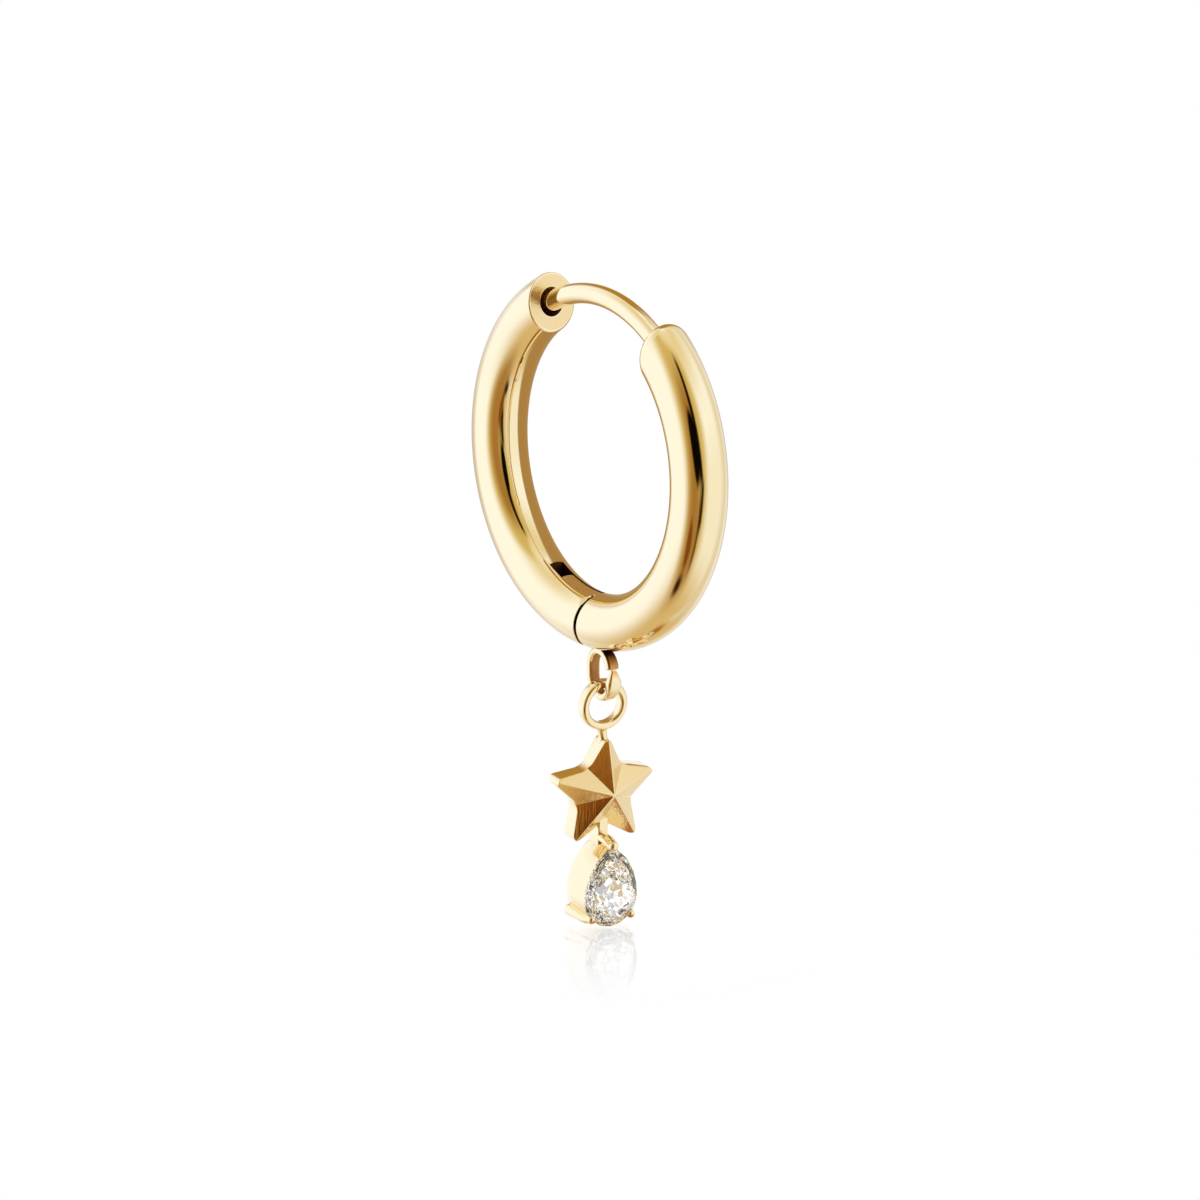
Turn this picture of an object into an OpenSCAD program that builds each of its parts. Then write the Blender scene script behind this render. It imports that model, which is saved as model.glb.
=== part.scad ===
// Hinged hoop earring with a star and pear stone charm, in millimetres.
// The origin is the crown of the ear wire, where the earring hangs from the ear.
// +Z is up, the hoop lies in the YZ plane and the star faces -Y.

/* [Hoop] */
// Inside diameter of the closed hoop
hoop_bore = 12; // [10:0.5:16]
// Diameter of the round tube
tube_d = 2.5; // [2.2:0.1:3]
// Where the post half ends, in degrees up from the front of the hoop
post_end_angle = 54; // [45:1:65]
// Where the catch half ends, in degrees up from the front of the hoop
catch_end_angle = 117; // [105:1:125]
// Radius of the rounded edge at the top of the post half
end_round = 0.6; // [0.1:0.05:0.7]
// Width of the parting line under the hoop
parting_gap = 0.1; // [0.05:0.01:0.2]

/* [Ear wire] */
// Diameter of the ear wire
wire_d = 0.9; // [0.7:0.05:1]
// Depth to which the wire is set into the post half
wire_seat = 1.6; // [1:0.1:3]
// How far the tip of the wire reaches into the socket
wire_reach = 0.35; // [0.2:0.05:0.5]
// Gap round the wire in its seat in the post half
wire_fit = 0.01; // [0.005:0.005:0.03]
// Gap round the tip of the wire in the socket
socket_gap = 0.2; // [0.15:0.01:0.25]
// Depth of the socket in the catch half
socket_depth = 3; // [1.5:0.1:5]

/* [Hinge] */
// Diameter of the hinge pin
pin_d = 0.5; // [0.4:0.05:0.6]
// Distance from the parting line back to the pin
pin_back = 1.45; // [1.2:0.05:1.8]
// How far the pin lies outside the centre line of the tube
pin_out = 0.49; // [0.3:0.01:0.55]
// Metal left over each end of the pin
pin_skin = 0.15; // [0.1:0.01:0.25]
// Gap between the pin and its two seats
pin_fit = 0.01; // [0.005:0.005:0.02]
// Running gap between the pin and the tongue's hole
pin_run = 0.04; // [0.02:0.01:0.08]
// Thickness of the hinge tongue
tongue_t = 0.65; // [0.5:0.05:0.8]
// Gap on each side of the tongue
tongue_gap = 0.05; // [0.03:0.01:0.1]
// Radius of the tongue's eye round the pin
eye_r = 0.7; // [0.5:0.05:0.8]
// Distance from the pin to the far end of the slot
slot_back = 1.55; // [1.2:0.05:2]

/* [Charm loop] */
// Outside width of the loop soldered under the hoop
loop_d = 2.1; // [1.9:0.1:2.6]
// Length of the loop's straight sides
loop_side = 0.35; // [0:0.05:0.6]
// Thickness of the loop's band
loop_band = 0.36; // [0.25:0.02:0.42]
// Width of the loop's band
loop_w = 0.6; // [0.4:0.05:0.7]
// Distance from the parting line forward to the loop
loop_forward = 0.45; // [0.3:0.05:1]
// How far the loop sinks into the tube for its soldering
loop_sink = 0.15; // [0.08:0.01:0.25]
// Width of the open seam in the front side of the loop
loop_seam = 0.07; // [0.03:0.01:0.15]
// Angle of the seam up the loop's top round
seam_angle = 15; // [0:1:30]

/* [Hanging ring] */
// Outside diameter of the ring above the star
ring_d = 2.3; // [2.1:0.1:2.8]
// Thickness of the ring's band
ring_band = 0.36; // [0.25:0.02:0.42]
// Width of the ring's band
ring_w = 0.6; // [0.4:0.05:0.7]
// Rounding on the ring's edges
ring_round = 0.1; // [0.05:0.01:0.12]
// Smallest gap between the loop and the ring
link_gap = 0.04; // [0.02:0.01:0.1]
// Turn of the loop and the charm about the vertical
drop_turn = -7; // [-15:1:15]
// Backward lean of the hanging charm
drop_lean = 4; // [0:1:6]

/* [Star] */
// Radius over the blunted points
star_r = 2.43; // [2.1:0.01:2.6]
// Radius at which the arms would come to a sharp point
star_sharp_r = 2.7; // [2.62:0.02:3]
// Radius of the inner corners
star_inner_r = 1.42; // [1.1:0.02:1.5]
// Thickness of the star's rim at the arms
star_rim = 0.9; // [0.7:0.02:1.4]
// How much thinner the rim is at the inner corners
star_valley = 0.2; // [0:0.02:0.4]
// Height of the star's peak above the rim
star_peak = 0.76; // [0.3:0.01:1]
// Length of the neck between the ring and the star
neck_l = 0.42; // [0.3:0.02:0.8]
// Diameter of the neck
neck_d = 0.42; // [0.3:0.02:0.5]

/* [Stone] */
// Width of the pear stone
stone_w = 2.65; // [2.4:0.05:3.2]
// Length of the pear stone
stone_l = 3.8; // [3.4:0.1:4.4]
// Height of the crown
crown_h = 0.5; // [0.3:0.02:0.7]
// Thickness of the girdle
girdle_h = 0.08; // [0.04:0.01:0.15]
// Depth of the pavilion
pavilion_h = 1.15; // [0.9:0.05:1.3]
// Width of the table as a share of the stone's width
table_share = 0.56; // [0.45:0.01:0.65]

/* [Cup and claws] */
// Distance from the star's inner corner down to the tip of the stone
stone_drop = 0.76; // [0.6:0.02:1.2]
// How far the stone's girdle stands in front of the star's rim
stone_front = 0.84; // [0.4:0.02:1]
// How far the cup's side stays inside the stone's outline
cup_inset = 0.05; // [0.03:0.01:0.15]
// Wall thickness of the cup
cup_wall = 0.28; // [0.2:0.02:0.4]
// Gap between the stone and its seat
stone_gap = 0.03; // [0.02:0.01:0.06]
// Diameter of the two lower claws
claw_d = 0.4; // [0.34:0.02:0.5]
// Diameter of the claw at the tip of the stone
tip_claw_d = 0.5; // [0.4:0.02:0.6]
// How far the middle of the claws stands outside the stone
claw_out = 0.1; // [0:0.02:0.14]
// Angle of the two lower claws from straight down
claw_angle = 50; // [35:1:65]
// How far the claws rise above the girdle
claw_rise = 0.3; // [0.2:0.02:0.45]
// How far the tips of the claws lean in over the stone
claw_lean = 0.12; // [0.08:0.02:0.24]
// Width of the connector between the star and the cup
connector_w = 0.5; // [0.4:0.02:0.6]

/* [Hidden] */
$fn = 64;
tube_r = tube_d / 2;
hoop_r = hoop_bore / 2 + tube_r;
outer_r = hoop_bore / 2 + tube_d;
wire_r = wire_d / 2;
// Angle along the hoop's centre line that a length of arc takes
function arc_deg(l) = l / hoop_r * 180 / PI;
// Place of the pin in the hoop's own plane, forward and up from its centre
pin_r_hoop = hoop_r + pin_out;
pin_at = [-pin_back, -sqrt(pin_r_hoop * pin_r_hoop - pin_back * pin_back)];
pin_reach = pin_out + pin_d / 2;
pin_l = 2 * (sqrt(tube_r * tube_r - pin_reach * pin_reach) - pin_skin);
// The catch half's end face lies in a plane through the pin, so it lifts off squarely
catch_face = hoop_r * [cos(catch_end_angle), sin(catch_end_angle)];
catch_face_dir = atan2(catch_face.y - pin_at.y, catch_face.x - pin_at.x);
slot_w = tongue_t + 2 * tongue_gap;
heel_r = pin_back - parting_gap;
// The rounding stops this short of both faces, so it meets them at a fine edge
crease = 0.02;
// Arc of tube past each end of a half, from which its end is cut
spare_arc = 30;
// How far a cutter passes the metal
spare = 3 * tube_d;
// Loop under the hoop and the ring that hangs in it
loop_in_r = loop_d / 2 - loop_band;
loop_low = -outer_r + loop_sink - loop_d - loop_side;
pivot = [loop_forward, loop_low + loop_band / 2];
ring_in_r = ring_d / 2 - ring_band;
loop_sag = loop_in_r - sqrt(loop_in_r * loop_in_r - ring_w * ring_w / 4);
corner_reach = norm([loop_w / 2, loop_band / 2 + loop_sag]);
ring_drop = ring_in_r - corner_reach - link_gap;
star_drop_l = ring_drop + ring_d / 2 + neck_l + star_r;
star_points = 5;
// Pear outline: a round end of radius stone_a and two long arcs that meet in a tip
stone_a = stone_w / 2;
stone_tip = stone_l - stone_a;
stone_long_r = (stone_a * stone_a + stone_tip * stone_tip) / (2 * stone_a);
stone_at = -star_inner_r - stone_drop - stone_tip;
girdle_z = star_rim / 2 + stone_front;
// Brilliant cut: main facets, then places of its inner rings as shares of outline and height
main_facets = 8;
star_ring = [0.8, 0.5];
lower_ring = [0.42, 0.62];

// Stands a drawing in the hoop's plane: x forward, y up, thickness across the hoop
module in_hoop() {
    translate([0, 0, -hoop_r])
        rotate([90, 0, -90])
            children();
}

// Ring-shaped run of a round bar along the hoop's centre line between two angles
module hoop_run(r, from, to) {
    rotate_extrude(start = from, angle = to - from)
        translate([hoop_r, 0])
            circle(r);
}

// What is filed off round the top end of the post half to round its edge
module end_rounding() {
    at = end_round - crease;
    rotate([0, 0, post_end_angle])
        translate([hoop_r, 0, 0])
            rotate([-90, 0, 0])
                rotate_extrude()
                    translate([tube_r - at, -at])
                        difference() {
                            square(2 * end_round);
                            circle(end_round);
                        }
}

// Side view of the hinge tongue
module tongue_side() {
    translate(pin_at)
        circle(eye_r);
    translate([pin_at.x, pin_at.y - eye_r])
        square([pin_back + tube_r, eye_r]);
    translate([pin_at.x - eye_r, pin_at.y])
        square([pin_back + eye_r + tube_r, hoop_r]);
}

// Side view of the slot for the tongue: right through round the eye, then only on the inside
module slot_side() {
    eye_room = eye_r + tongue_gap;
    translate([pin_at.x - eye_room, pin_at.y - outer_r])
        square([pin_back + eye_room, 2 * outer_r]);
    translate([pin_at.x - slot_back, pin_at.y])
        square([slot_back, hoop_r]);
}

// Outline of the loop, a round drawn out by its straight sides
module loop_outline(r) {
    circle(r);
    translate([0, loop_side])
        circle(r);
    translate([-r, 0])
        square([2 * r, loop_side]);
}

// Loop with an open seam, standing in the hoop's plane
module charm_loop() {
    translate([loop_forward, loop_low + loop_d / 2, 0])
        rotate([0, drop_turn, 0])
            linear_extrude(loop_w, center = true)
                difference() {
                    loop_outline(loop_d / 2);
                    loop_outline(loop_in_r);
                    translate([0, loop_side])
                        rotate(seam_angle)
                            translate([0, -loop_seam / 2])
                                square([loop_d, loop_seam]);
                }
}

module post_half() {
    seat_from = post_end_angle - arc_deg(wire_seat + wire_fit);
    color("gold")
        in_hoop() {
            difference() {
                hoop_run(tube_r, -90 - spare_arc, post_end_angle);
                end_rounding();
                // Past the parting line only the tongue is left
                linear_extrude(spare, center = true)
                    difference() {
                        translate([-spare, -spare - hoop_r])
                            square([spare, 2 * spare]);
                        tongue_side();
                    }
                for (side = [0, 1])
                    mirror([0, 0, side])
                        translate([-spare, -spare - hoop_r, tongue_t / 2])
                            cube([spare, 2 * spare, spare]);
                // Seat of the ear wire and hole for the pin
                hoop_run(wire_r + wire_fit, seat_from, post_end_angle + spare_arc);
                translate([pin_at.x, pin_at.y, 0])
                    cylinder(h = tube_d, r = pin_d / 2 + pin_run, center = true);
            }
            charm_loop();
        }
}

module ear_wire() {
    tip_angle = catch_end_angle + arc_deg(wire_reach - wire_r);
    color("gold")
        in_hoop() {
            hoop_run(wire_r, post_end_angle - arc_deg(wire_seat), tip_angle);
            // Rounded tip
            rotate([0, 0, tip_angle])
                translate([hoop_r, 0, 0])
                    rotate([90, 0, 0])
                        sphere(wire_r);
        }
}

module catch_half() {
    socket_end = catch_end_angle + arc_deg(socket_depth);
    color("goldenrod")
        in_hoop()
            difference() {
                hoop_run(tube_r, catch_end_angle - spare_arc, 270);
                // End face towards the wire
                translate(catch_face)
                    rotate([0, 0, catch_face_dir])
                        translate([-spare, -2 * spare, -spare / 2])
                            cube([2 * spare, 2 * spare, spare]);
                // Socket for the tip of the wire
                hoop_run(wire_r + socket_gap, catch_end_angle - spare_arc, socket_end);
                // Parting line and slot
                translate([-parting_gap, -spare - hoop_r, -spare / 2])
                    cube([spare, 2 * spare, spare]);
                linear_extrude(slot_w, center = true)
                    slot_side();
                // Heel turned round the pin, so the hinge can open
                linear_extrude(spare, center = true)
                    difference() {
                        translate([pin_at.x, pin_at.y - outer_r])
                            square([pin_back, outer_r]);
                        translate(pin_at)
                            circle(heel_r);
                    }
                translate([pin_at.x, pin_at.y, 0])
                    cylinder(h = pin_l + 2 * pin_fit, r = pin_d / 2 + pin_fit, center = true);
            }
}

module hinge_pin() {
    color("darkgoldenrod")
        in_hoop()
            translate([pin_at.x, pin_at.y, 0])
                cylinder(h = pin_l, r = pin_d / 2, center = true);
}

// Stands a drawing in the charm's plane: x right, y up from the star's centre, z to the front
module in_drop() {
    translate([0, -pivot.x, pivot.y - hoop_r])
        rotate([0, 0, drop_turn])
            rotate([90 + drop_lean, 0, 0])
                translate([0, -star_drop_l, 0])
                    children();
}

// Star with a ridge along each arm, lowest in its inner corners, its sharp points cut off
module star() {
    n = 2 * star_points;
    half = star_rim / 2;
    corners = [
        for (i = [0 : n - 1])
            let (at_tip = i % 2 == 0, r = at_tip ? star_sharp_r : star_inner_r)
                [r * sin(360 * i / n), r * cos(360 * i / n), at_tip ? half : half - star_valley]
    ];
    points = concat([[0, 0, half + star_peak]], corners, [for (p = corners) [p.x, p.y, -half]]);
    intersection() {
        polyhedron(points, [
            for (i = [1 : n])
                let (j = i % n + 1)
                    each [[0, i, j], [j, i, i + n, j + n]],
            [for (i = [n : -1 : 1]) i + n]
        ]);
        cylinder(h = 2 * (star_rim + star_peak), r = star_r, center = true, $fn = 96);
    }
}

// Radius of the pear outline in one direction from the centre of its round end
function pear_r(ang) =
    let (k = stone_long_r - stone_a, c = k * abs(cos(ang)))
        sin(ang) <= 0 ? stone_a : sqrt(c * c + stone_long_r * stone_long_r - k * k) - c;

// Pear outline moved outwards by grow, or inwards where it is negative
module pear_outline(grow) {
    off = stone_long_r - stone_a;
    circle(stone_a + grow);
    intersection() {
        translate([off, 0])
            circle(stone_long_r + grow, $fn = 128);
        translate([-off, 0])
            circle(stone_long_r + grow, $fn = 128);
        translate([-stone_w, 0])
            square([2 * stone_w, 2 * stone_l]);
    }
}

// A ring of points round the stone: share of the outline, height, count and first angle
function stone_ring(share, z, n, first, grow) = [
    for (i = [0 : n - 1])
        let (ang = first + 360 * i / n, r = share * (pear_r(ang) + grow))
            [r * cos(ang), r * sin(ang), z]
];

// Brilliant cut: table, star, kite and girdle facets above, long and short facets below
module brilliant(grow) {
    n = main_facets;
    half = 180 / n;
    g = girdle_h / 2 + grow;
    points = concat(
        stone_ring(table_share, crown_h + grow, n, 90, grow),
        stone_ring(star_ring[0], crown_h * star_ring[1] + grow, n, 90 + half, grow),
        stone_ring(1, g, 2 * n, 90, grow),
        stone_ring(1, -g, 2 * n, 90, grow),
        stone_ring(lower_ring[0], -pavilion_h * lower_ring[1] - grow, n, 90 + half, grow),
        [[0, 0, -pavilion_h - grow]]
    );
    hull()
        polyhedron(points, [
            [for (i = [n - 1 : -1 : 0]) i],
            for (i = [0 : n - 1])
                let (j = (i + 1) % n, s = n + i, t = n + j, b = 2 * n, m = b + 2 * i, e = b + 2 * j)
                    each [[i, j, s], [j, t, e], [j, e, s], [s, e, m + 1], [s, m + 1, m]],
            for (i = [0 : n - 1])
                let (b = 2 * n, m = b + 2 * i, e = b + (2 * i + 2) % (2 * n), d = 2 * n)
                    each [[m, m + 1, m + 1 + d], [m, m + 1 + d, m + d],
                          [m + 1, e, e + d], [m + 1, e + d, m + 1 + d]],
            for (i = [0 : n - 1])
                let (b = 4 * n, m = b + 2 * i, e = b + (2 * i + 2) % (2 * n), l = 6 * n + i,
                     k = 6 * n + (i + 1) % n, c = 7 * n)
                    each [[l, m, m + 1], [l, m + 1, e], [l, e, k], [l, k, c]]
        ]);
}

// A claw: a round bar along the cup with a ball tip that leans towards the stone
module claw(ang, r_at, claw_r) {
    tip_z = girdle_z + claw_rise - claw_r;
    rotate([0, 0, ang]) {
        translate([r_at, 0, -star_rim / 2])
            cylinder(h = girdle_z + star_rim / 2, r = claw_r, $fn = 32);
        translate([r_at, 0, girdle_z])
            sphere(claw_r, $fn = 32);
        translate([r_at - claw_lean, 0, tip_z])
            sphere(claw_r, $fn = 32);
    }
}

// Cup with a bevelled seat and three claws, notched for the stone
module cup() {
    translate([0, stone_at, 0])
        difference() {
            union() {
                translate([0, 0, -star_rim / 2])
                    linear_extrude(star_rim / 2 + girdle_z)
                        difference() {
                            pear_outline(-cup_inset);
                            pear_outline(-cup_inset - cup_wall);
                        }
                for (side = [-1, 1])
                    claw(-90 + side * claw_angle, stone_a + claw_out, claw_d / 2);
                claw(90, stone_tip + claw_out, tip_claw_d / 2);
            }
            translate([0, 0, girdle_z])
                brilliant(stone_gap);
        }
}

module connector() {
    top = -star_inner_r + connector_w / 2;
    low = stone_at + stone_tip - cup_inset - cup_wall;
    translate([-connector_w / 2, low, -star_rim / 2])
        cube([connector_w, top - low, star_rim]);
}

// Ring with a rounded band
module hanging_ring() {
    band = [ring_band, ring_w] / 2 - [ring_round, ring_round];
    translate([0, star_drop_l - ring_drop, 0])
        rotate_extrude()
            translate([(ring_d - ring_band) / 2, 0]) {
                square(2 * [band.x, ring_w / 2], center = true);
                square(2 * [ring_band / 2, band.y], center = true);
                for (side = [-1, 1], face = [-1, 1])
                    translate([side * band.x, face * band.y])
                        circle(ring_round, $fn = 24);
            }
}

module neck() {
    sunk = 0.15;
    translate([0, star_r - sunk, 0])
        rotate([-90, 0, 0])
            cylinder(h = neck_l + 2 * sunk, r = neck_d / 2, $fn = 32);
}

module star_drop() {
    color("gold")
        in_drop() {
            hanging_ring();
            neck();
            star();
            difference() {
                connector();
                translate([0, stone_at, girdle_z])
                    brilliant(stone_gap);
            }
            cup();
        }
}

module pear_stone() {
    color("aliceblue")
        in_drop()
            translate([0, stone_at, girdle_z])
                brilliant(0);
}

post_half();
ear_wire();
catch_half();
hinge_pin();
star_drop();
pear_stone();
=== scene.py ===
import math

import bmesh
import bpy
from mathutils import Matrix, Vector


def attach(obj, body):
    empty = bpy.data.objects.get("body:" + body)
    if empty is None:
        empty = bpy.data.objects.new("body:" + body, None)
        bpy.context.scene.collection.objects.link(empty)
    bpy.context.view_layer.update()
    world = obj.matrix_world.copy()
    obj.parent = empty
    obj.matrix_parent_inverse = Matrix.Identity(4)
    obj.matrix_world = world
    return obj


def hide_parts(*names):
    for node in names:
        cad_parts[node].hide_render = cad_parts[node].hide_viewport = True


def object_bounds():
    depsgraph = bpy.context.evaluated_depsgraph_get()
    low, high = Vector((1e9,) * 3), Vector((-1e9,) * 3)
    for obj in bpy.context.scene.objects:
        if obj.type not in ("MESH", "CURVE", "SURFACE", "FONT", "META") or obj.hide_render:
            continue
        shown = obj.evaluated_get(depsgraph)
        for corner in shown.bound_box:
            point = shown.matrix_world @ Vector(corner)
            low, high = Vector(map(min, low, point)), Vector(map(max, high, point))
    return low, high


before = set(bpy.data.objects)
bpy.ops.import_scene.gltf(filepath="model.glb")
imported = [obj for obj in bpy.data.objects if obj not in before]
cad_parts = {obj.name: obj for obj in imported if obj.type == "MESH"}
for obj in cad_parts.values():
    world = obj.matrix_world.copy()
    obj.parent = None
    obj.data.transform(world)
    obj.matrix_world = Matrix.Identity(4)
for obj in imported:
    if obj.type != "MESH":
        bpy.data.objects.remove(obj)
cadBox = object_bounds()
scene = bpy.context.scene
mm = 0.001  # sizes are in millimetres and angles in degrees, as in the part's source


def linear(code):
    channels = [int(code[i:i + 2], 16) / 255 for i in (1, 3, 5)]
    return tuple(c / 12.92 if c <= 0.04045 else ((c + 0.055) / 1.055) ** 2.4 for c in channels) + (1.0,)


def addNode(tree, kind, values=None, **settings):
    made = tree.nodes.new(kind)
    for key, value in settings.items():
        setattr(made, key, value)
    for key, value in (values or {}).items():
        if isinstance(value, bpy.types.NodeSocket):
            tree.links.new(value, made.inputs[key])
        else:
            made.inputs[key].default_value = value
    return made


def newMaterial(name):
    made = bpy.data.materials.new(name)
    made.use_nodes = True
    made.node_tree.nodes.clear()
    return made


def finishMaterial(made, shader):
    addNode(made.node_tree, "ShaderNodeOutputMaterial", {"Surface": shader})
    return made


# Colours of the finishes and sizes of their patterns. A grain has its size along x, y and z. The colours
# after the satin are painted shade: in joints and hollows, on the loop's inside and under the hoop.
finish = {"gold": "#fcecc8", "satin": "#f8e0b0", "recessShade": "#4e2c14", "insideShade": "#b98348",
          "halfShade": "#f0b268", "deepShade": "#3c1806", "haze": 2.381, "scratch": 0.02,
          "fileGrain": (0.1111, 1.111, 0.1111), "paperGrain": (0.1111, 0.1111, 2.0),
          "facet": 0.3846, "fineFacet": 0.2778}


# Gold plating on wheel-polished metal, whose gloss wavers faintly over a few millimetres
def polishedGold():
    made = newMaterial("polishedGold")
    tree = made.node_tree
    place = addNode(tree, "ShaderNodeTexCoord").outputs["Object"]
    haze = addNode(tree, "ShaderNodeTexNoise", {"Vector": place, "Scale": 1 / (finish["haze"] * mm),
                   "Detail": 3.0})
    rough = addNode(tree, "ShaderNodeMapRange", {"Value": haze.outputs["Fac"], "From Min": 0.35,
                    "From Max": 0.7, "To Min": 0.04, "To Max": 0.09})
    shader = addNode(tree, "ShaderNodeBsdfPrincipled", {"Base Color": linear(finish["gold"]),
                     "Metallic": 1.0, "Roughness": rough.outputs["Result"]})
    return finishMaterial(made, shader.outputs["BSDF"])


# The same gold where a file or fine paper left it satin. Its lines are drawn wider apart than real
# ones, so that they show.
def brushedGold(name, grain, roughness):
    made = newMaterial(name)
    tree = made.node_tree
    place = addNode(tree, "ShaderNodeTexCoord").outputs["Object"]
    drawn = addNode(tree, "ShaderNodeMapping", {"Vector": place, "Scale": [1 / (g * mm) for g in grain]})
    lines = addNode(tree, "ShaderNodeTexNoise", {"Vector": drawn.outputs["Vector"], "Scale": 1.0,
                    "Detail": 2.0})
    bump = addNode(tree, "ShaderNodeBump", {"Height": lines.outputs["Fac"], "Strength": 0.35,
                   "Distance": finish["scratch"] * mm})
    shader = addNode(tree, "ShaderNodeBsdfPrincipled", {"Base Color": linear(finish["satin"]),
                     "Metallic": 1.0, "Roughness": roughness, "Normal": bump.outputs["Normal"]})
    return finishMaterial(made, shader.outputs["BSDF"])


# Dull metal whose colour is painted shade, where it lies in hollows and joints or faces away from the
# light
def shadedDullGold(name, code, roughness, metallic):
    made = newMaterial(name)
    shader = addNode(made.node_tree, "ShaderNodeBsdfPrincipled", {"Base Color": linear(code),
                     "Metallic": metallic, "Roughness": roughness})
    return finishMaterial(made, shader.outputs["BSDF"])


# Clear cut crystal. Its index is kept low, so that light leaves the stone in few bounces.
def clearStone(name, facet, tilt, clear):
    made = newMaterial(name)
    tree = made.node_tree
    # Small facets: each cell tips the surface its own way
    place = addNode(tree, "ShaderNodeTexCoord").outputs["Object"]
    cell = addNode(tree, "ShaderNodeTexVoronoi", {"Vector": place, "Scale": 1 / (facet * mm)})
    around = addNode(tree, "ShaderNodeVectorMath", {0: cell.outputs["Color"], 1: (0.5, 0.5, 0.5)},
                     operation="SUBTRACT").outputs[0]
    tipped = addNode(tree, "ShaderNodeVectorMath", {0: around, "Scale": tilt},
                     operation="SCALE").outputs[0]
    facing = addNode(tree, "ShaderNodeNewGeometry").outputs["Normal"]
    turned = addNode(tree, "ShaderNodeVectorMath", {0: facing, 1: tipped}, operation="ADD").outputs[0]
    even = addNode(tree, "ShaderNodeVectorMath", {0: turned}, operation="NORMALIZE").outputs[0]
    shader = addNode(tree, "ShaderNodeBsdfPrincipled", {"Base Color": linear("#ffffff"),
                     "Roughness": 0.0, "IOR": 1.52, "Transmission Weight": clear, "Normal": even})
    return finishMaterial(made, shader.outputs["BSDF"])


# Gold with painted shade under the hoop: dark brown at the joint, running out to bright gold further down.
# Inputs 6 and 7 of a Mix node are its two colours.
def shadedUnderHoopGold(top, foot, fade):
    made = newMaterial("shadeUnderHoopGold")
    tree = made.node_tree
    place = addNode(tree, "ShaderNodeTexCoord").outputs["Object"]
    height = addNode(tree, "ShaderNodeSeparateXYZ", {0: place}).outputs["Z"]
    near = addNode(tree, "ShaderNodeMapRange", {"Value": height, "From Min": foot * mm,
                   "From Max": top * mm}).outputs["Result"]
    shadeColour = addNode(tree, "ShaderNodeMix", {"Factor": near, 6: linear(finish["halfShade"]),
                  7: linear(finish["deepShade"])}, data_type="RGBA").outputs[2]
    intoShade = addNode(tree, "ShaderNodeMapRange", {"Value": height, "From Min": (foot - fade) * mm,
                   "From Max": foot * mm}).outputs["Result"]
    colour = addNode(tree, "ShaderNodeMix", {"Factor": intoShade, 6: linear(finish["gold"]), 7: shadeColour},
                     data_type="RGBA").outputs[2]
    shader = addNode(tree, "ShaderNodeBsdfPrincipled", {"Base Color": colour, "Metallic": 1.0,
                     "Roughness": 0.16})
    return finishMaterial(made, shader.outputs["BSDF"])


gold = polishedGold()
filedGold = brushedGold("filedGold", finish["fileGrain"], 0.28)
hairlineGold = brushedGold("hairlineGold", finish["paperGrain"], 0.14)
# Two dull metals whose browns are painted shade: the dark one in the joints, slot, seat and bore, the
# lighter one in the socket and on the loop's inside
recessShade = shadedDullGold("dullRecessShadeGold", finish["recessShade"], 0.5, 1.0)
insideShadeGold = shadedDullGold("insideShadeDullGold", finish["insideShade"], 0.45, 0.5)
metals = [gold, filedGold, recessShade, insideShadeGold]
stoneMaterials = [clearStone("clearCutStone", finish["facet"], 0.1, 0.88),
                  clearStone("clearFineCutStone", finish["fineFacet"], 0.4, 0.97)]
print("materials made")


def linked(name, data):
    made = bpy.data.objects.new(name, data)
    scene.collection.objects.link(made)
    return made


# Merges doubles and turns faces outwards where told to, then marks smooth faces and sharp edges
def shade(data, smooth, sharpAngle, merge=False, outwards=True):
    work = bmesh.new()
    work.from_mesh(data)
    if merge:
        bmesh.ops.remove_doubles(work, verts=work.verts, dist=0.0001 * mm)
    if outwards:
        bmesh.ops.recalc_face_normals(work, faces=work.faces)
    for face in work.faces:
        face.smooth = smooth
    for edge in work.edges:
        edge.smooth = not (len(edge.link_faces) == 2
                           and edge.calc_face_angle(0.0) > math.radians(sharpAngle))
    work.to_mesh(data)
    work.free()


def meshObject(name, verts, faces, materials, faceSlots=None, smooth=False, sharpAngle=30.0):
    data = bpy.data.meshes.new(name)
    data.from_pydata([tuple(v) for v in verts], [], faces)
    for m in materials:
        data.materials.append(m)
    if faceSlots:
        for face, which in zip(data.polygons, faceSlots):
            face.material_index = which
    shade(data, smooth, sharpAngle)
    return linked(name, data)


# A skin over rows of points, each row a closed ring. It has a fan over each end, or joins its last
# row to its first.
def skin(name, rows, materials, bands=None, sharpAngle=30.0, joined=False):
    around = len(rows[0])
    verts = [p for row in rows for p in row]
    faces = []
    slots = []
    for i in range(len(rows) if joined else len(rows) - 1):
        n = (i + 1) % len(rows)
        for j in range(around):
            k = (j + 1) % around
            faces.append((i * around + j, i * around + k, n * around + k, n * around + j))
            slots.append(bands[i] if bands else 0)
    for row, which in () if joined else ((0, 0), (len(rows) - 1, len(rows) - 2)):
        verts.append(sum(rows[row], Vector()) / around)
        for j in range(around):
            faces.append((row * around + j, row * around + (j + 1) % around, len(verts) - 1))
            slots.append(bands[which] if bands else 0)
    return meshObject(name, verts, faces, materials, slots, True, sharpAngle)


# Adds rows to a skin, and the metal of the strips that lead to them
def addRows(rows, bands, more, metal):
    rows += more
    bands += [metals.index(metal)] * len(more)


def lerpRow(a, b, t):
    return [p.lerp(q, t) for p, q in zip(a, b)]


# Rounds the corner between two rows: leaves the first, aims at the corner, arrives at the last
def roundRows(a, corner, b, count):
    found = []
    for i in range(1, count):
        t = i / count
        found.append([p * (1 - t) ** 2 + c * (2 * t * (1 - t)) + q * t ** 2
                      for p, c, q in zip(a, corner, b)])
    return found


def turns(count):
    return [2 * math.pi * i / count for i in range(count)]


# Goes gently from 0 at the first limit to 1 at the second
def eased(value, first, second):
    t = min(max((value - first) / (second - first), 0), 1)
    return t * t * (3 - 2 * t)


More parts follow.
